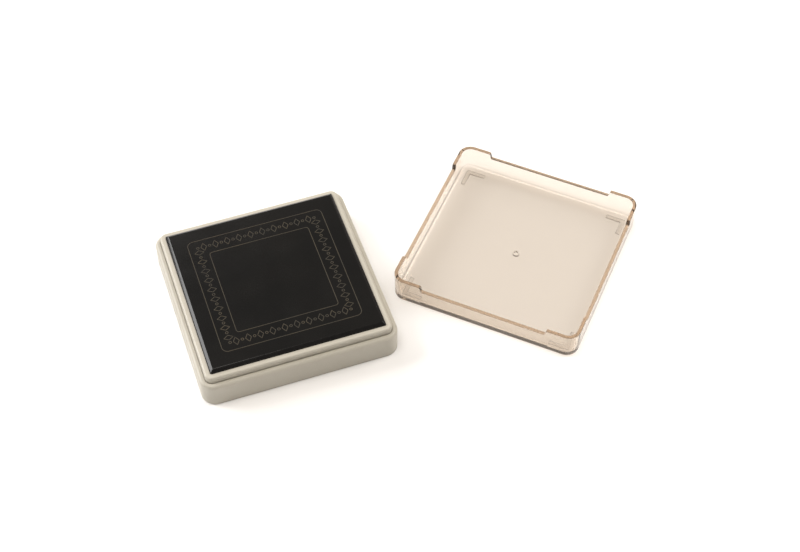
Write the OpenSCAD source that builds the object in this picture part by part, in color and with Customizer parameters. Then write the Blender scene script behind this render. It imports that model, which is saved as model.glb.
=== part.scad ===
// Ink pad block: a square base with a raised frame, a microporous ink sheet that
// stands proud of it on a sprung ink tray, and a loose clear cover lying beside it,
// open side up. Origin at the centre of the base's underside, +Z up, base sides
// along X and Y.

/* [Base] */
// Width and depth of the square base
base_w = 68; // [67:0.5:72]
// Radius of the base's upright corners
base_corner_r = 5; // [4.5:0.1:6]
// Height of the ledge that the cover stands on
ledge_z = 9.9; // [9.6:0.1:10.2]
// Radius of the ledge's outer edge
ledge_edge_r = 1.2; // [0.6:0.1:1.3]
// Thickness of the base's walls
base_wall = 1.3; // [1.2:0.05:1.4]

/* [Frame] */
// Width of the frame that rises out of the base
frame_w = 64.1; // [63.9:0.1:64.2]
// Height of the frame's top above the table
frame_z = 12.3; // [12:0.1:12.5]
// Radius of the frame's upright corners
frame_corner_r = 2.4; // [2.2:0.1:3.2]
// Radius of the frame's top edge
frame_edge_r = 0.8; // [0.4:0.1:0.9]

/* [Ink sheet] */
// Width of the square ink sheet
sheet_w = 60; // [59.8:0.1:60.1]
// Height of the inking face above the table
sheet_z = 13.5; // [13.3:0.1:14]
// Width of the bevel round the face
bevel_w = 1; // [0.6:0.1:1.4]
// Height of the bevel round the face
bevel_h = 0.7; // [0.4:0.05:0.8]

/* [Cover] */
// Width of the cover outside
cover_w = 67; // [66.8:0.1:67.4]
// Thickness of the cover's walls and top
cover_wall = 1.25; // [1:0.05:1.25]
// Height of the cover's rim above the table, between the corner lugs
rim_z = 8.5; // [8:0.1:9]
// Height of a corner lug above the rim
lug_h = 2.2; // [1.5:0.1:2.6]
// Length of rim between two lugs
rim_gap = 45; // [40:1:50]
// Height of the L-shaped feet on the cover's outer face
foot_h = 0.5; // [0.4:0.1:0.8]

/* [Cover place] */
// Distance of the cover's centre from the base's centre, to the right
cover_x = 85.3; // [84:0.1:120]
// Distance of the cover's centre from the base's centre, to the back
cover_y = -8.7; // [-20:0.1:20]
// Turn of the cover seen from above
cover_turn = -42.3; // [-46:0.1:-40]

/* [Hidden] */
$fn = 64;

ivory = [0.87, 0.85, 0.79];
ivory_inner = [0.80, 0.78, 0.72];
ink_black = [0.09, 0.09, 0.09];
felt_black = [0.14, 0.13, 0.13];
tray_grey = [0.36, 0.37, 0.38];
foam_grey = [0.55, 0.56, 0.55];
tape_white = [0.93, 0.93, 0.90];
smoke_brown = [0.79, 0.62, 0.45, 0.55];

eps = 0.01;
fit_gap = 0.05;             // between pieces that are held against each other
slide_gap = 0.15;           // round what moves in the frame

// base
deck_t = 1.8;
base_half = base_w / 2;
shell_inner_half = base_half - base_wall;
shell_inner_r = base_corner_r - base_wall;
foot_edge_r = 0.4;
groove_w = 0.22;
groove_d = 0.35;

// frame
frame_half = frame_w / 2;
sheet_half = sheet_w / 2;
lip_half = sheet_half + slide_gap;
lip_t = 1.7;
lip_z = frame_z - lip_t;
well_half = frame_half - 0.9;
well_r = frame_corner_r - 0.9;
skirt_z = 5;
flange_half = shell_inner_half - fit_gap;
flange_r = shell_inner_r - fit_gap;
flange_t = 1.2;
flange_z = ledge_z - deck_t - fit_gap;

// bottom plate
plate_t = 1.6;
plate_half = shell_inner_half - 0.1;
plate_r = shell_inner_r - 0.1;
plate_wall_out = plate_half - 0.3;
plate_wall_in = plate_wall_out - 1.1;
nub_l = 8;
nub_h = 0.6;
nub_d = 0.3;
nub_z = 1;
nub_offset = 18;
nub_room = 0.1;

// sprung ink tray and what lies in it and under it
tray_half = well_half - slide_gap;
tray_r = well_r - slide_gap;
tray_wall = 0.8;
tray_z = 5.6;
tray_top = lip_z - fit_gap;
felt_t = 2.1;
felt_z = tray_z + tray_wall + fit_gap;
sheet_low = felt_z + felt_t + fit_gap;
tape_t = 0.15;
soft_half = 29;
foam_low = plate_t + fit_gap + tape_t + fit_gap;
foam_high = tray_z - fit_gap - tape_t - fit_gap;

// cover
cover_half = cover_w / 2;
cover_corner_r = 4.5;
cover_edge_r = 1.5;
cover_inner_edge_r = 0.9;
cover_inner_half = cover_half - cover_wall;
cover_inner_r = cover_corner_r - cover_wall;
lug_z = rim_z + lug_h;
lug_r = 0.5;
foot_arm = 6.8;
foot_w = 1.3;
foot_corner = cover_half - 3.3;
pip_r = 1.2;
pip_h = 0.5;

// Square with four true-arc corners
module rounded_square(half, r) {
    square([2 * half, 2 * (half - r)], center = true);
    square([2 * (half - r), 2 * half], center = true);
    for (x = [-1, 1], y = [-1, 1])
        translate([x * (half - r), y * (half - r)]) circle(r);
}

// Upright slab from low to high
module slab(half, r, low, high) {
    translate([0, 0, low]) linear_extrude(high - low) rounded_square(half, r);
}

// Side outline of a block: a rectangle from low to high with rounded corners,
// radius low_r at the bottom and high_r at the top, either of which may be 0
module side_outline(half, low, high, low_r, high_r) {
    translate([-half, low + low_r]) square([2 * half, high - low - low_r - high_r]);
    translate([-(half - low_r), low]) square([2 * (half - low_r), low_r + eps]);
    translate([-(half - high_r), high - high_r - eps]) square([2 * (half - high_r), high_r + eps]);
    for (x = [-1, 1]) {
        if (low_r > 0) translate([x * (half - low_r), low + low_r]) circle(low_r);
        if (high_r > 0) translate([x * (half - high_r), high - high_r]) circle(high_r);
    }
}

// Square block with round upright corners and rounded top and bottom edges
module block(half, r, low, high, low_r, high_r) {
    for (turn = [0, 90])
        rotate([90, 0, turn])
            linear_extrude(2 * (half - r), center = true)
                side_outline(half, low, high, low_r, high_r);
    for (x = [-1, 1], y = [-1, 1])
        translate([x * (half - r), y * (half - r), 0])
            rotate_extrude()
                intersection() {
                    side_outline(r, low, high, low_r, high_r);
                    translate([0, low - 1]) square([r + 1, high - low + 2]);
                }
}

// Places its children at both snap points of all four sides
module at_snaps() {
    for (turn = [0 : 90 : 270], x = [-1, 1])
        rotate(turn) translate([x * nub_offset, -plate_half, nub_z]) children();
}

module base_shell() {
    color(ivory)
        difference() {
            block(base_half, base_corner_r, 0, ledge_z, foot_edge_r, ledge_edge_r);
            slab(shell_inner_half, shell_inner_r, -1, ledge_z - deck_t);
            slab(frame_half + fit_gap, frame_corner_r + fit_gap, 0, ledge_z + 1);
            slab(frame_half + groove_w, frame_corner_r + groove_w, ledge_z - groove_d, ledge_z + 1);
            at_snaps() cube([nub_l + 2 * nub_room, 2 * (nub_d + nub_room + 0.1),
                             nub_h + 2 * nub_room], center = true);
        }
}

module bottom_plate() {
    color(ivory_inner) {
        difference() {
            slab(plate_half, plate_r, 0, skirt_z - fit_gap);
            slab(plate_wall_in, plate_r - 1.4, plate_t, skirt_z);
            difference() {
                slab(plate_half + 1, plate_r + 1, plate_t, skirt_z);
                slab(plate_wall_out, plate_r - 0.3, plate_t - 1, skirt_z + 1);
            }
        }
        at_snaps() cube([nub_l, 2 * nub_d, nub_h], center = true);
    }
}

module pad_frame() {
    color(ivory)
        difference() {
            union() {
                block(frame_half, frame_corner_r, skirt_z, frame_z, 0, frame_edge_r);
                slab(flange_half, flange_r, flange_z - flange_t, flange_z);
            }
            slab(well_half, well_r, skirt_z - 1, lip_z);
            slab(lip_half, 0.6, skirt_z, frame_z + 1);
        }
}

// The bevel is the face's square prism cut by four slopes
module ink_sheet() {
    slope = atan2(bevel_h, bevel_w);
    color(ink_black)
        difference() {
            translate([-sheet_half, -sheet_half, sheet_low])
                cube([sheet_w, sheet_w, sheet_z - sheet_low]);
            for (turn = [0 : 90 : 270])
                rotate(turn)
                    translate([sheet_half, 0, sheet_z - bevel_h])
                        rotate([0, slope, 0])
                            translate([-3, -sheet_w, 0])
                                cube([6, 2 * sheet_w, 3]);
        }
}

module ink_felt() {
    color(felt_black) slab(sheet_half - 0.2, 1, felt_z, felt_z + felt_t);
}

module ink_tray() {
    color(tray_grey)
        difference() {
            slab(tray_half, tray_r, tray_z, tray_top);
            slab(sheet_half + fit_gap, 0.2, tray_z + tray_wall, tray_top + 1);
        }
}

module tape(low) {
    color(tape_white) slab(soft_half, 0.5, low, low + tape_t);
}

module tray_tape() {
    tape(foam_high + fit_gap);
}

module foam_tape() {
    tape(plate_t + fit_gap);
}

module cushion_foam() {
    color(foam_grey) slab(soft_half, 0.5, foam_low, foam_high);
}

// Outline of the gap in the rim between two lugs, with soft corners at both ends
module rim_gap_outline() {
    half = rim_gap / 2;
    translate([-half, rim_z + lug_r]) square([rim_gap, lug_h + 1]);
    translate([-(half - lug_r), rim_z]) square([rim_gap - 2 * lug_r, lug_h]);
    for (x = [-1, 1]) {
        translate([x * (half - lug_r), rim_z + lug_r]) circle(lug_r);
        difference() {
            translate([x * half, lug_z]) square(2 * lug_r, center = true);
            translate([x * (half + lug_r), lug_z - lug_r]) circle(lug_r);
        }
    }
}

// L-shaped foot in one corner of the cover's outer face
module corner_foot() {
    translate([foot_corner - foot_arm, foot_corner - foot_w, 0])
        cube([foot_arm, foot_w, foot_h + 0.2]);
    translate([foot_corner - foot_w, foot_corner - foot_arm, 0])
        cube([foot_w, foot_arm, foot_h + 0.2]);
}

module cover() {
    color(smoke_brown)
        translate([cover_x, cover_y, 0])
            rotate(cover_turn) {
                difference() {
                    block(cover_half, cover_corner_r, foot_h, lug_z, cover_edge_r, 0);
                    block(cover_inner_half, cover_inner_r, foot_h + cover_wall, lug_z + 1,
                          cover_inner_edge_r, 0);
                    for (turn = [0, 90])
                        rotate([90, 0, turn])
                            linear_extrude(cover_w + 2, center = true) rim_gap_outline();
                }
                for (turn = [0 : 90 : 270]) rotate(turn) corner_foot();
                translate([0, 0, foot_h + cover_wall - 0.2]) cylinder(h = pip_h + 0.2, r = pip_r);
            }
}

base_shell();
bottom_plate();
pad_frame();
ink_sheet();
ink_felt();
ink_tray();
tray_tape();
cushion_foam();
foam_tape();
cover();
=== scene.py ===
"""Looks of the square ink pad block and its loose clear cover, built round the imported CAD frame.

Lengths are in metres. Sizes written as a number times MM are in millimetres.
"""

import math
import random

import bmesh
import bpy
from mathutils import Matrix, Vector


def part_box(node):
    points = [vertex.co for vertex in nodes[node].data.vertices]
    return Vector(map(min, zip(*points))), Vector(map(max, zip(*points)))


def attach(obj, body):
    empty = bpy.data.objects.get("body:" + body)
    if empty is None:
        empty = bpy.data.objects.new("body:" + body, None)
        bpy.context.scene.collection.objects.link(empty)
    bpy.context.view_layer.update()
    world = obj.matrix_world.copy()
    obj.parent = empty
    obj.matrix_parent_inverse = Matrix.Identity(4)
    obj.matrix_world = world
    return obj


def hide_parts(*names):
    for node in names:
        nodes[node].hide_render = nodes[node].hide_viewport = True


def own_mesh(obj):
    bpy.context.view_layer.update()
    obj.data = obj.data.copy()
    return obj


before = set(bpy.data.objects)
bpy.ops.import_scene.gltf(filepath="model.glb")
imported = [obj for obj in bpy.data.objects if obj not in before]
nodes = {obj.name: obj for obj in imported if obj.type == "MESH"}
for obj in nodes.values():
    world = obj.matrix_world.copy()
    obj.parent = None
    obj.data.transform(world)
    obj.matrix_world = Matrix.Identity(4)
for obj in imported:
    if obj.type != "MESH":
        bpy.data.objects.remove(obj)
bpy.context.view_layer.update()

MM = 0.001
TAU = 2 * math.pi

# camera: azimuth in degrees from -Y towards +X, lens in millimetres
CAMERA_TARGET = Vector((44.1, -3.3, 0)) * MM
CAMERA_DISTANCE = 559.8 * MM
CAMERA_AZIMUTH = -19.08
CAMERA_ELEVATION = 52.62
CAMERA_LENS = 72.28

# colour of the lamps on the right and overhead
WARM = (1, 0.955, 0.90)

# strength of the room light in front and behind
ROOM_LIGHT_FRONT = 0.10
ROOM_LIGHT_BEHIND = 0.44

# ink sheet
BEVEL_W = 1.0 * MM
BEVEL_H = 0.7 * MM
CREASE_R = 0.12 * MM

# lines of the border on the inking face
LINE_W = 0.30 * MM
LINE_H = 0.06 * MM
LINE_SINK = 0.02 * MM
RIDGE_SIDES = 5

# border on the inking face, in millimetres: half the sides of its two squares, the row between
# them, and the length of a step along a line
BORDER_OUTER = 24.0
BORDER_INNER = 17.6
BORDER_CORNER_R = 2.0
BORDER_REPEATS = 10
DIAMOND_LENGTH = 3.2
DIAMOND_WIDTH = 2.0
DOT_WIDTH = 0.9
LINE_STEP = 0.35

# cover: its turn on the table and the sizes that its box doesn't give
COVER_TURN = -42.3
COVER_CORNER_R = 4.5 * MM
COVER_WALL = 1.25 * MM
COVER_DRAFT = 0.15 * MM
COVER_LUG_H = 2.2 * MM
COVER_RIM_GAP = 45 * MM
COVER_STEP_W = 0.45 * MM
COVER_LIP_R = 0.12 * MM
COVER_BASE_R = 0.7 * MM
COVER_INNER_R = 0.9 * MM
FOOT_H = 0.5 * MM
FOOT_ARM = 6.8 * MM
FOOT_W = 1.3 * MM
FOOT_INSET = 3.3 * MM
FOOT_SINK = 0.3 * MM
FOOT_EDGE_R = 0.12 * MM
PIP_R = 1.2 * MM
PIP_H = 0.5 * MM

# half the side of the table, in metres
TABLE_HALF = 6


# ---------------------------------------------------------------- materials

class Finish:
    """A material with one Principled shader, and short ways to add nodes in front of it."""

    def __init__(self, name, **settings):
        self.material = bpy.data.materials.new(name)
        self.material.use_nodes = True
        self.tree = self.material.node_tree
        self.shader = self.tree.nodes["Principled BSDF"]
        self.output = self.tree.nodes["Material Output"]
        self.place = self.add("ShaderNodeTexCoord").outputs["Object"]
        for socket, value in settings.items():
            self.shader.inputs[socket.replace("_", " ")].default_value = value

    def add(self, kind, **inputs):
        node = self.tree.nodes.new(kind)
        for name, value in inputs.items():
            self.feed(node.inputs[name.replace("_", " ")], value)
        return node

    def feed(self, socket, value):
        """Links value to the socket if it is an output, and else sets it."""
        if isinstance(value, bpy.types.NodeSocket):
            self.tree.links.new(value, socket)
        else:
            socket.default_value = value

    def stretched(self, stretch):
        node = self.add("ShaderNodeMapping", Vector=self.place, Scale=stretch)
        return node.outputs["Vector"]

    def noise(self, size, detail=3.0, stretch=None):
        """Noise from 0 to 1 whose lumps are about size metres across."""
        place = self.place if stretch is None else self.stretched(stretch)
        node = self.add("ShaderNodeTexNoise", Vector=place, Scale=1 / size, Detail=detail)
        return node.outputs["Factor" if "Factor" in node.outputs else "Fac"]

    def cells(self, size):
        """Distance to the nearest of points that lie about size metres apart."""
        node = self.add("ShaderNodeTexVoronoi", Vector=self.place, Scale=1 / size)
        return node.outputs["Distance"]

    def spread(self, value, low, high, from_low=0.3, from_high=0.7):
        """Value stretched from its own range to the range low to high."""
        node = self.add("ShaderNodeMapRange", Value=value)
        for name, number in (("From Min", from_low), ("From Max", from_high),
                             ("To Min", low), ("To Max", high)):
            node.inputs[name].default_value = number
        return node.outputs["Result"]

    def sum(self, a, b, share=1.0):
        node = self.add("ShaderNodeMath")
        node.operation = "MULTIPLY_ADD"
        self.feed(node.inputs[0], b)
        node.inputs[1].default_value = share
        self.feed(node.inputs[2], a)
        return node.outputs[0]

    def mixed(self, factor, first, second):
        node = self.add("ShaderNodeMix")
        node.data_type = "RGBA"
        self.feed(node.inputs["Factor"], factor)
        self.feed(node.inputs[6], first)
        self.feed(node.inputs[7], second)
        return node.outputs[2]

    def colour(self, value):
        self.feed(self.shader.inputs["Base Color"], value)

    def roughness(self, value):
        self.feed(self.shader.inputs["Roughness"], value)

    def bump(self, height, distance, below=None):
        """Bump of that real height, on top of the bump that came out of an earlier call."""
        node = self.add("ShaderNodeBump", Height=height, Distance=distance)
        if below is not None:
            self.feed(node.inputs["Normal"], below)
        self.feed(self.shader.inputs["Normal"], node.outputs["Normal"])
        return node.outputs["Normal"]


def rgb(red, green, blue):
    return (red, green, blue, 1.0)


def moulded_plastic(name, light, dark, shine, grain):
    """Opaque moulded plastic: slow drift of tone, fine speckle, mould texture and faint rubbing."""
    finish = Finish(name, Specular_IOR_Level=0.45)
    drift = finish.spread(finish.noise(14 * MM, 4), 0, 1)
    speckle = finish.spread(finish.noise(0.35 * MM, 2), -0.35, 0.35)
    finish.colour(finish.mixed(finish.sum(drift, speckle), light, dark))
    rubbed = finish.noise(2.5 * MM, 5, stretch=(1, 1, 0.25))
    finish.roughness(finish.spread(rubbed, shine - 0.07, shine + 0.09))
    slow = finish.bump(finish.noise(5 * MM, 2), 6e-6)
    finish.bump(finish.noise(grain, 3), 5e-6, below=slow)
    return finish.material


def porous_face():
    """The inking face: a fine open-cell skin, even and satin, paler in slow patches."""
    finish = Finish("porous_face", Specular_IOR_Level=0.22)
    drift = finish.spread(finish.noise(22 * MM, 3), 0, 1)
    pores = finish.spread(finish.noise(0.16 * MM, 2), -0.4, 0.4)
    finish.colour(finish.mixed(finish.sum(drift, pores), rgb(0.0050, 0.0052, 0.0052),
                               rgb(0.0078, 0.0076, 0.0070)))
    finish.roughness(finish.spread(finish.noise(9 * MM, 5), 0.22, 0.28))
    slow = finish.bump(finish.noise(12 * MM, 2), 1.2e-5)
    finish.bump(finish.noise(0.14 * MM, 2), 1.5e-6, below=slow)
    return finish.material


def sealed_edge():
    """The heat-sealed bevels and sides of the ink sheet: closed, smoother and shinier."""
    finish = Finish("sealed_edge", Specular_IOR_Level=0.30)
    finish.colour(finish.mixed(finish.noise(3 * MM, 4), rgb(0.006, 0.006, 0.006),
                               rgb(0.010, 0.0095, 0.009)))
    finish.roughness(finish.spread(finish.noise(1.5 * MM, 4), 0.16, 0.22))
    finish.bump(finish.noise(0.8 * MM, 3), 4e-6)
    return finish.material


def inked_line():
    """The border's lines: unsealed foam, rough, with brown dye drying in it."""
    finish = Finish("inked_line", Specular_IOR_Level=0.3)
    tone = finish.spread(finish.noise(4 * MM, 3), 0, 1)
    finish.colour(finish.mixed(tone, rgb(0.058, 0.047, 0.031), rgb(0.035, 0.031, 0.025)))
    finish.roughness(finish.spread(finish.noise(0.5 * MM, 2), 0.7, 0.9))
    finish.bump(finish.noise(0.06 * MM, 2), 6e-6)
    return finish.material


def felt():
    """Ink-soaked felt: matted fibres in two directions."""
    finish = Finish("felt", Specular_IOR_Level=0.25, Sheen_Weight=0.35, Sheen_Roughness=0.5)
    one_way = finish.noise(0.3 * MM, 3, stretch=(1, 6, 1))
    other_way = finish.noise(0.3 * MM, 3, stretch=(6, 1, 1))
    mat = finish.sum(one_way, other_way)
    finish.colour(finish.mixed(finish.spread(mat, 0, 1, 0.7, 1.3), rgb(0.012, 0.011, 0.012),
                               rgb(0.045, 0.041, 0.042)))
    finish.roughness(finish.spread(mat, 0.75, 0.95, 0.7, 1.3))
    finish.bump(mat, 6e-5)
    return finish.material


def cell_foam():
    """Closed-cell foam: round cells with thin paler walls."""
    finish = Finish("cell_foam", Specular_IOR_Level=0.3)
    cells = finish.cells(0.55 * MM)
    tone = finish.sum(cells, finish.noise(8 * MM, 3), 0.5)
    finish.colour(finish.mixed(finish.spread(tone, 0, 1, 0.3, 1.0), rgb(0.24, 0.25, 0.25),
                               rgb(0.46, 0.47, 0.46)))
    finish.roughness(finish.spread(cells, 0.7, 0.9, 0, 0.8))
    finish.bump(cells, 8e-5)
    return finish.material


def film_tape():
    """Double-sided tape: a milky film with faint wrinkles and small trapped bubbles."""
    finish = Finish("film_tape", Specular_IOR_Level=0.5)
    bubbles = finish.spread(finish.cells(1.8 * MM), 1, 0, 0.1, 0.25)
    finish.colour(finish.mixed(bubbles, rgb(0.80, 0.78, 0.71), rgb(0.88, 0.87, 0.84)))
    finish.roughness(finish.spread(finish.noise(3 * MM, 4), 0.30, 0.5))
    finish.bump(finish.noise(1.2 * MM, 3, stretch=(1, 0.3, 1)), 1.5e-5)
    return finish.material


def clear_plastic():
    """Clear brown-tinted plastic with a trace of haze. Its depth of colour comes from how far
    light goes through it, and lamps reach what is behind it."""
    finish = Finish("clear_plastic", Transmission_Weight=0.97, IOR=1.52)
    finish.colour(rgb(0.93, 0.90, 0.86))
    finish.roughness(finish.spread(finish.noise(6 * MM, 5), 0.02, 0.06))
    finish.bump(finish.noise(9 * MM, 2), 6e-6)
    pane = finish.add("ShaderNodeBsdfTransparent", Color=rgb(0.865, 0.875, 0.885))
    rays = finish.add("ShaderNodeLightPath")
    surface = finish.shader.outputs["BSDF"]
    for kind in ("Is Diffuse Ray", "Is Shadow Ray"):
        choice = finish.add("ShaderNodeMixShader")
        finish.feed(choice.inputs[0], rays.outputs[kind])
        finish.feed(choice.inputs[1], surface)
        finish.feed(choice.inputs[2], pane.outputs[0])
        surface = choice.outputs[0]
    finish.feed(finish.output.inputs["Surface"], surface)
    tint = finish.add("ShaderNodeVolumeAbsorption", Color=rgb(0.76, 0.60, 0.41), Density=170.0)
    finish.feed(finish.output.inputs["Volume"], tint.outputs[0])
    return finish.material


def table_top():
    """Plain white table."""
    finish = Finish("table_top", Specular_IOR_Level=0.2, Roughness=0.8)
    finish.colour(rgb(0.91, 0.91, 0.91))
    return finish.material


# ---------------------------------------------------------------- meshes

def new_object(name, mesh_maker, *materials):
    """Object made by mesh_maker(bm), with these materials in its slots."""
    bm = bmesh.new()
    mesh_maker(bm)
    mesh = bpy.data.meshes.new(name)
    bm.to_mesh(mesh)
    bm.free()
    for material in materials:
        mesh.materials.append(material)
    piece = bpy.data.objects.new(name, mesh)
    bpy.context.scene.collection.objects.link(piece)
    return piece


def shade_smooth(mesh, edge_angle):
    """Smooth shading, with every edge sharper than edge_angle degrees kept crisp."""
    mesh.polygons.foreach_set("use_smooth", [True] * len(mesh.polygons))
    mesh.set_sharp_from_angle(angle=math.radians(edge_angle))


def ink_sheet_mesh(low, high):
    """Maker of the ink sheet's closed form: upright sides, a bevel and a flat face, creases rounded."""
    rings = [(0, low.z), (0, high.z - BEVEL_H), (BEVEL_W, high.z)]

    def make(bm):
        loops = []
        for inset, z in rings:
            half = high.x - inset
            corners = [(half, half), (-half, half), (-half, -half), (half, -half)]
            loops.append([bm.verts.new((x, y, z)) for x, y in corners])
        for below, above in zip(loops, loops[1:]):
            for i in range(4):
                j = (i + 1) % 4
                side = bm.faces.new((below[i], below[j], above[j], above[i]))
                side.material_index = 1
        bm.faces.new(loops[-1]).material_index = 0
        bottom = bm.faces.new(reversed(loops[0]))
        bottom.material_index = 1
        bm.normal_update()
        shoulders = [e for e in bm.edges
                     if abs(e.verts[0].co.z - e.verts[1].co.z) < 1e-7
                     and e.verts[0].co.z > low.z + 1e-6]
        ridges = [e for e in bm.edges if abs(e.verts[0].co.z - e.verts[1].co.z) > 1e-7]
        bmesh.ops.bevel(bm, geom=shoulders + ridges, offset=CREASE_R, segments=3,
                        profile=0.5, affect="EDGES", material=1)
    return make


# The border is a list of strokes. A stroke is a closed line: a list of points in millimetres that
# ends where it starts.

def circle(width, centre):
    steps = max(10, int(math.pi * width / LINE_STEP))
    return [(centre[0] + width / 2 * math.cos(TAU * i / steps),
             centre[1] + width / 2 * math.sin(TAU * i / steps)) for i in range(steps + 1)]


def arc(radius, start, end, centre):
    """Arc from start to end, in degrees."""
    steps = max(4, int(abs(end - start) / 360 * TAU * radius / LINE_STEP))
    angles = [math.radians(start + (end - start) * i / steps) for i in range(steps + 1)]
    return [(centre[0] + radius * math.cos(a), centre[1] + radius * math.sin(a)) for a in angles]


def turned(stroke, angle):
    """The stroke turned about the origin by angle degrees."""
    c, s = math.cos(math.radians(angle)), math.sin(math.radians(angle))
    return [(c * x - s * y, s * x + c * y) for x, y in stroke]


def rounded_square(half, corner_r):
    """Closed outline of a square about the origin."""
    reach = half - corner_r
    outline = []
    for turn in (0, 90, 180, 270):
        outline += turned(arc(corner_r, 0, 90, (reach, reach)), turn)
    return outline + outline[:1]


def diamond(length, width, centre):
    x, y = centre
    return [(x + length / 2, y), (x, y + width / 2), (x - length / 2, y), (x, y - width / 2),
            (x + length / 2, y)]


def resampled(stroke):
    """The stroke's points, with more between any two that are further apart than a step."""
    points = [stroke[0]]
    for start, end in zip(stroke, stroke[1:]):
        parts = max(1, round(math.dist(start, end) / LINE_STEP))
        points += [(start[0] + (end[0] - start[0]) * i / parts,
                    start[1] + (end[1] - start[1]) * i / parts) for i in range(1, parts + 1)]
    return points


def border():
    """Two rounded squares, with dots and diamonds by turns in the band between them,
    and a dot in each corner."""
    middle = (BORDER_OUTER + BORDER_INNER) / 2
    pitch = 2 * middle / BORDER_REPEATS
    strokes = [rounded_square(BORDER_OUTER, BORDER_CORNER_R),
               rounded_square(BORDER_INNER, BORDER_CORNER_R / 2)]
    for turn in (0, 90, 180, 270):
        for i in range(BORDER_REPEATS):
            dot = circle(DOT_WIDTH, (middle, pitch * i - middle))
            gem = diamond(DIAMOND_LENGTH, DIAMOND_WIDTH, (middle, pitch * (i + 0.5) - middle))
            strokes += [turned(dot, turn), turned(gem, turn)]
    return [resampled(stroke) for stroke in strokes]


def ridge(bm, points, top):
    """Adds a low rounded ridge along the closed stroke, its foot a little inside the face."""
    points = points[:-1]
    rows = []
    for i, (x, y) in enumerate(points):
        before, after = points[i - 1], points[(i + 1) % len(points)]
        along = Vector((after[0] - before[0], after[1] - before[1])).normalized()
        across = Vector((-along.y, along.x))
        row = []
        for k in range(RIDGE_SIDES + 1):
            angle = math.pi * k / RIDGE_SIDES
            out = LINE_W / 2 * math.cos(angle)
            up = (LINE_H + LINE_SINK) * math.sin(angle) - LINE_SINK
            row.append(bm.verts.new((x * MM + across.x * out, y * MM + across.y * out, top + up)))
        rows.append(row)
    for first, second in zip(rows, rows[1:] + rows[:1]):
        for k in range(RIDGE_SIDES + 1):
            m = (k + 1) % (RIDGE_SIDES + 1)
            bm.faces.new((first[k], second[k], second[m], first[m]))


def line_mesh(strokes, top):
    def make(bm):
        for stroke in strokes:
            ridge(bm, stroke, top)
        bmesh.ops.recalc_face_normals(bm, faces=bm.faces)
    return make


# The cover is modelled about its own centre with its sides along X and Y, standing on z = 0.

def cover_stations(half, rim, lug):
    """Places round the cover's outline: (anchor, outward direction, height of the rim there).
    A point that lies inset from the outside is at anchor + direction * (corner radius - inset)."""
    reach = half - COVER_CORNER_R
    step_at = COVER_RIM_GAP / 2
    middle_count, step_count, end_count, corner_count = 8, 10, 3, 10
    step = [step_at + COVER_STEP_W * (2 * i / step_count - 1) for i in range(step_count + 1)]
    middle = [step[0] * i / middle_count for i in range(middle_count)]
    to_corner = [step[-1] + (reach - step[-1]) * i / end_count for i in range(1, end_count + 1)]
    along = middle + step + to_corner
    along = [-u for u in reversed(along[1:])] + along
    stations = []
    for quarter in range(4):
        turn = Matrix.Rotation(quarter * TAU / 4, 2)
        for u in along:
            rise = min(max((abs(u) - step[0]) / (2 * COVER_STEP_W), 0), 1)
            height = rim + (lug - rim) * (1 - math.cos(math.pi * rise)) / 2
            stations.append((turn @ Vector((reach, u)), turn @ Vector((1, 0)), height))
        for i in range(1, corner_count):
            a = TAU / 4 * i / corner_count
            stations.append((turn @ Vector((reach, reach)),
                             turn @ Vector((math.cos(a), math.sin(a))), lug))
    return stations


def quarter_turn(steps):
    """(sine, cosine) at even steps from 0 to 90 degrees."""
    return [(math.sin(TAU / 4 * i / steps), math.cos(TAU / 4 * i / steps))
            for i in range(steps + 1)]


def cover_section(height, rim, lug, floor):
    """The wall's outline at a place where the rim is height high: (inset, z) from the outer edge
    of the underside, over the rim, to where the inner fillet meets the floor."""
    points = [(COVER_BASE_R * (1 - s), FOOT_H + COVER_BASE_R * (1 - c)) for s, c in quarter_turn(4)]
    levels = [floor + 0.30 * (rim - floor), floor + 0.60 * (rim - floor), rim - 2 * COVER_LIP_R]
    points += [(0, z) for z in levels]
    points += [(COVER_LIP_R * (1 - c), height - COVER_LIP_R * (1 - s)) for s, c in quarter_turn(3)]
    points += [(COVER_WALL - COVER_LIP_R * (1 - s), height - COVER_LIP_R * (1 - c))
               for s, c in quarter_turn(3)]
    points += [(COVER_WALL, z) for z in reversed(levels)]
    points += [(COVER_WALL + COVER_INNER_R * (1 - c), floor + COVER_INNER_R * (1 - s))
               for s, c in quarter_turn(4)]
    return [(inset + COVER_DRAFT * (lug - z) / lug, z) for inset, z in points]


def cap(bm, loop, shrink):
    """Closes a loop with a ring of quads round one flat face."""
    inner = [bm.verts.new((v.co.x * shrink, v.co.y * shrink, v.co.z)) for v in loop]
    for i in range(len(loop)):
        j = (i + 1) % len(loop)
        bm.faces.new((loop[i], loop[j], inner[j], inner[i]))
    bm.faces.new(inner)


def cover_shell(half, rim, lug, floor):
    def make(bm):
        columns = []
        for anchor, outward, height in cover_stations(half, rim, lug):
            column = []
            for inset, z in cover_section(height, rim, lug, floor):
                point = anchor + outward * (COVER_CORNER_R - inset)
                column.append(bm.verts.new((point.x, point.y, z)))
            columns.append(column)
        count = len(columns)
        for i in range(count):
            here, there = columns[i], columns[(i + 1) % count]
            for k in range(len(here) - 1):
                bm.faces.new((here[k], there[k], there[k + 1], here[k + 1]))
        cap(bm, [c[0] for c in columns], 0.9)
        cap(bm, [c[-1] for c in columns], 0.9)
        bmesh.ops.recalc_face_normals(bm, faces=bm.faces)
    return make


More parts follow.
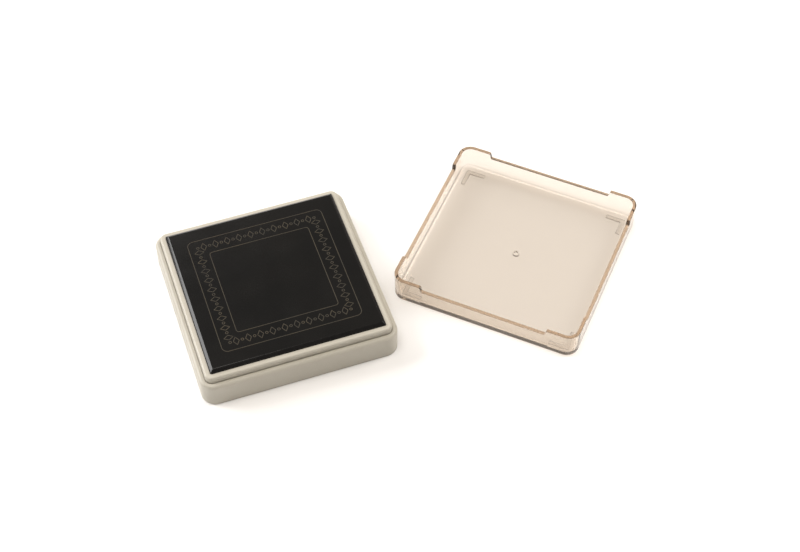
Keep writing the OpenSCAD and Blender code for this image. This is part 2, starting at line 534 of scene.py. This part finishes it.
def foot_solids(half):
    """Maker of the four L-shaped feet under the cover's corners, their lower edges rounded."""
    corner = half - FOOT_INSET
    tail = corner - FOOT_ARM
    thin = corner - FOOT_W
    outline = [(corner, corner), (tail, corner), (tail, thin), (thin, thin), (thin, tail),
               (corner, tail)]

    def make(bm):
        for quarter in range(4):
            turn = Matrix.Rotation(quarter * TAU / 4, 2)
            places = [turn @ Vector(p) for p in outline]
            lower = [bm.verts.new((p.x, p.y, 0)) for p in places]
            upper = [bm.verts.new((p.x, p.y, FOOT_H + FOOT_SINK)) for p in places]
            for i in range(6):
                j = (i + 1) % 6
                bm.faces.new((lower[i], lower[j], upper[j], upper[i]))
            bm.faces.new(lower)
            bm.faces.new(upper)
        edges = [e for e in bm.edges if all(v.co.z < 1e-6 for v in e.verts)]
        bmesh.ops.bevel(bm, geom=edges, offset=FOOT_EDGE_R, segments=2, profile=0.5,
                        affect="EDGES")
        bmesh.ops.recalc_face_normals(bm, faces=bm.faces)
    return make


def gate_pip(floor):
    """Maker of the moulding gate's mark on the cover's inner floor: a low ring with a dimple.
    Its profile is in shares of the pip's radius and height."""
    profile = [(0, -0.3), (1, -0.3), (1, 0.85), (0.95, 1), (0.75, 1), (0.68, 0.88), (0.62, 0.15),
               (0.5, 0), (0, 0)]
    steps = 40

    def make(bm):
        loops = []
        for radius, height in profile:
            z = floor + height * PIP_H
            if radius == 0:
                loops.append([bm.verts.new((0, 0, z))])
                continue
            loops.append([bm.verts.new((radius * PIP_R * math.cos(TAU * i / steps),
                                        radius * PIP_R * math.sin(TAU * i / steps), z))
                          for i in range(steps)])
        for lower, upper in zip(loops, loops[1:]):
            for i in range(steps):
                j = (i + 1) % steps
                ring = [lower[i % len(lower)], lower[j % len(lower)],
                        upper[j % len(upper)], upper[i % len(upper)]]
                bm.faces.new(list(dict.fromkeys(ring)))
        bmesh.ops.recalc_face_normals(bm, faces=bm.faces)
    return make


def joined_solid(piece, *parts):
    """Joins closed parts to the closed piece as one solid, and removes them."""
    for part in parts:
        union = piece.modifiers.new("join", "BOOLEAN")
        union.operation = "UNION"
        union.solver = "MANIFOLD"
        union.object = part
    graph = bpy.context.evaluated_depsgraph_get()
    piece.data = bpy.data.meshes.new_from_object(piece.evaluated_get(graph))
    piece.modifiers.clear()
    for part in parts:
        bpy.data.objects.remove(part)


def soft_block_mesh(low, high, swell, grain, cell):
    """Maker of a soft slab: its sides pull in by swell at the top and bottom, and are roughened by
    grain, in cells of about the given size.
    Its top and bottom stay flat between their rims, because they lie on their neighbours."""
    rng = random.Random(7)
    half = high.x
    rim = (high.z - low.z) / 2
    rows = 8
    per_side = int(2 * half / cell)
    corner = 1.0 * MM

    def outline(grow):
        points = []
        reach = half - corner
        for quarter in range(4):
            turn = Matrix.Rotation(quarter * TAU / 4, 2)
            for i in range(per_side):
                across = -reach + 2 * reach * i / per_side
                points.append(turn @ Vector((half + grow, across)))
            for i in range(4):
                angle = TAU / 4 * (i + 0.5) / 4
                points.append(turn @ Vector((reach + (corner + grow) * math.cos(angle),
                                             reach + (corner + grow) * math.sin(angle))))
        return points

    def make(bm):
        loops = []
        for row in range(rows + 1):
            height = -1 + 2 * row / rows
            grow = swell * (math.sqrt(max(0.0, 1 - height ** 4)) - 1)
            loop = []
            for point in outline(grow):
                rough = 1 + rng.uniform(-grain, grain) / half * (1 - abs(height) ** 6)
                loop.append(bm.verts.new((point.x * rough, point.y * rough,
                                          (low.z + high.z) / 2 + rim * height)))
            loops.append(loop)
        count = len(loops[0])
        for below, above in zip(loops, loops[1:]):
            for i in range(count):
                j = (i + 1) % count
                bm.faces.new((below[i], below[j], above[j], above[i]))
        for loop, z, order in ((loops[0], low.z, -1), (loops[-1], high.z, 1)):
            centre = bm.verts.new((0, 0, z))
            inner = [bm.verts.new((v.co.x * 0.9, v.co.y * 0.9, z)) for v in loop]
            for i in range(count):
                j = (i + 1) % count
                quad = (loop[i], loop[j], inner[j], inner[i])
                bm.faces.new(quad if order > 0 else tuple(reversed(quad)))
                fan = (inner[i], inner[j], centre)
                bm.faces.new(fan if order > 0 else tuple(reversed(fan)))
    return make


# ---------------------------------------------------------------- pieces

def build_ink_sheet(face, edge, line):
    low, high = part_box("ink_sheet")
    sheet = new_object("ink_sheet_formed", ink_sheet_mesh(low, high), face, edge)
    shade_smooth(sheet.data, 20)
    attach(sheet, "pad")
    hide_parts("ink_sheet")
    lines = new_object("face_border", line_mesh(border(), high.z), line)
    shade_smooth(lines.data, 60)
    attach(lines, "pad")


def build_cover(material):
    """The cover, its sizes taken from its CAD box and its own few constants."""
    low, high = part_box("cover")
    slant = math.cos(math.radians(COVER_TURN)) + abs(math.sin(math.radians(COVER_TURN)))
    half = ((high.x - low.x) / 2 - COVER_CORNER_R) / slant + COVER_CORNER_R
    lug = high.z
    rim = lug - COVER_LUG_H
    floor = FOOT_H + COVER_WALL
    cover = new_object("cover_moulded", cover_shell(half, rim, lug, floor), material)
    feet = new_object("cover_feet", foot_solids(half), material)
    pip = new_object("cover_pip", gate_pip(floor), material)
    joined_solid(cover, feet, pip)
    place = Matrix.Translation(((low.x + high.x) / 2, (low.y + high.y) / 2, 0))
    cover.data.transform(place @ Matrix.Rotation(math.radians(COVER_TURN), 4, "Z"))
    shade_smooth(cover.data, 50)
    flats = cover.modifiers.new("flat_faces_stay_flat", "WEIGHTED_NORMAL")
    flats.keep_sharp = True
    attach(cover, "cover")
    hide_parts("cover")


def build_soft(name, node, body, material, swell, grain):
    low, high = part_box(node)
    piece = new_object(name, soft_block_mesh(low, high, swell, grain, 1.0 * MM), material)
    shade_smooth(piece.data, 50)
    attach(piece, body)
    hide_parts(node)
    return piece


def finish_node(name, material):
    """Gives a CAD node its material."""
    mesh = nodes[name].data
    mesh.materials.clear()
    mesh.materials.append(material)


def build_pieces():
    ivory = moulded_plastic("ivory_moulded", rgb(0.495, 0.468, 0.400), rgb(0.468, 0.440, 0.372),
                            shine=0.36, grain=0.22 * MM)
    inner = moulded_plastic("inner_moulded", rgb(0.56, 0.53, 0.46), rgb(0.52, 0.49, 0.43),
                            shine=0.48, grain=0.4 * MM)
    tray = moulded_plastic("tray_moulded", rgb(0.13, 0.135, 0.14), rgb(0.11, 0.115, 0.12),
                           shine=0.30, grain=0.5 * MM)
    tape = film_tape()
    for name, material in (("base_shell", ivory), ("pad_frame", ivory), ("bottom_plate", inner),
                           ("ink_tray", tray), ("tray_tape", tape), ("foam_tape", tape)):
        finish_node(name, material)
    build_cover(clear_plastic())
    build_ink_sheet(porous_face(), sealed_edge(), inked_line())
    build_soft("ink_felt_pad", "ink_felt", "pad", felt(),
               swell=0.10 * MM, grain=0.05 * MM)
    foam = build_soft("cushion_foam_pad", "cushion_foam", "base", cell_foam(),
                      swell=0.25 * MM, grain=0.04 * MM)
    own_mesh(foam)


# ---------------------------------------------------------------- studio

def direction(azimuth, elevation):
    """Unit vector towards a point seen at azimuth, from +X towards +Y, and elevation, in degrees."""
    a, e = math.radians(azimuth), math.radians(elevation)
    return Vector((math.cos(a) * math.cos(e), math.sin(a) * math.cos(e), math.sin(e)))


def build_camera():
    data = bpy.data.cameras.new("camera")
    data.lens = CAMERA_LENS
    data.sensor_width = 36
    data.clip_start = 0.01
    data.clip_end = 20
    camera = bpy.data.objects.new("camera", data)
    bpy.context.scene.collection.objects.link(camera)
    back = direction(CAMERA_AZIMUTH - 90, CAMERA_ELEVATION)
    camera.location = CAMERA_TARGET + back * CAMERA_DISTANCE
    camera.rotation_euler = (-back).to_track_quat("-Z", "Y").to_euler()
    bpy.context.scene.camera = camera


def build_lamp(name, azimuth, elevation, width, strength, colour):
    """Broad distant lamp that looks width degrees across."""
    data = bpy.data.lights.new(name, "SUN")
    data.energy = strength
    data.color = colour
    data.angle = math.radians(width)
    lamp = bpy.data.objects.new(name, data)
    lamp.rotation_euler = direction(azimuth, elevation).to_track_quat("Z", "Y").to_euler()
    bpy.context.scene.collection.objects.link(lamp)


def build_surroundings():
    """Soft room light: dim in front, brighter behind."""
    world = bpy.data.worlds.new("studio")
    bpy.context.scene.world = world
    world.use_nodes = True
    tree = world.node_tree
    place = tree.nodes.new("ShaderNodeTexCoord")
    parts = tree.nodes.new("ShaderNodeSeparateXYZ")
    ramp = tree.nodes.new("ShaderNodeMapRange")
    tree.links.new(place.outputs["Generated"], parts.inputs[0])
    tree.links.new(parts.outputs["Y"], ramp.inputs["Value"])
    for name, number in (("From Min", -1), ("From Max", 1),
                         ("To Min", ROOM_LIGHT_FRONT), ("To Max", ROOM_LIGHT_BEHIND)):
        ramp.inputs[name].default_value = number
    tree.links.new(ramp.outputs["Result"], tree.nodes["Background"].inputs["Strength"])
    tree.nodes["Background"].inputs["Color"].default_value = (1.0, 0.89, 0.80, 1)


def build_studio():
    table = new_object("table", lambda bm: bmesh.ops.create_grid(
        bm, x_segments=1, y_segments=1, size=TABLE_HALF), table_top())
    build_camera()
    build_surroundings()
    build_lamp("key", azimuth=142, elevation=32, width=34, strength=2.4, colour=(1, 1, 1))
    build_lamp("back", azimuth=100, elevation=24, width=30, strength=0.85, colour=(1, 1, 1))
    build_lamp("right", azimuth=0, elevation=44, width=36, strength=1.65, colour=WARM)
    build_lamp("overhead", azimuth=205, elevation=78, width=32, strength=1.2, colour=WARM)
    bpy.context.scene.view_settings.view_transform = "Standard"


build_studio()
build_pieces()
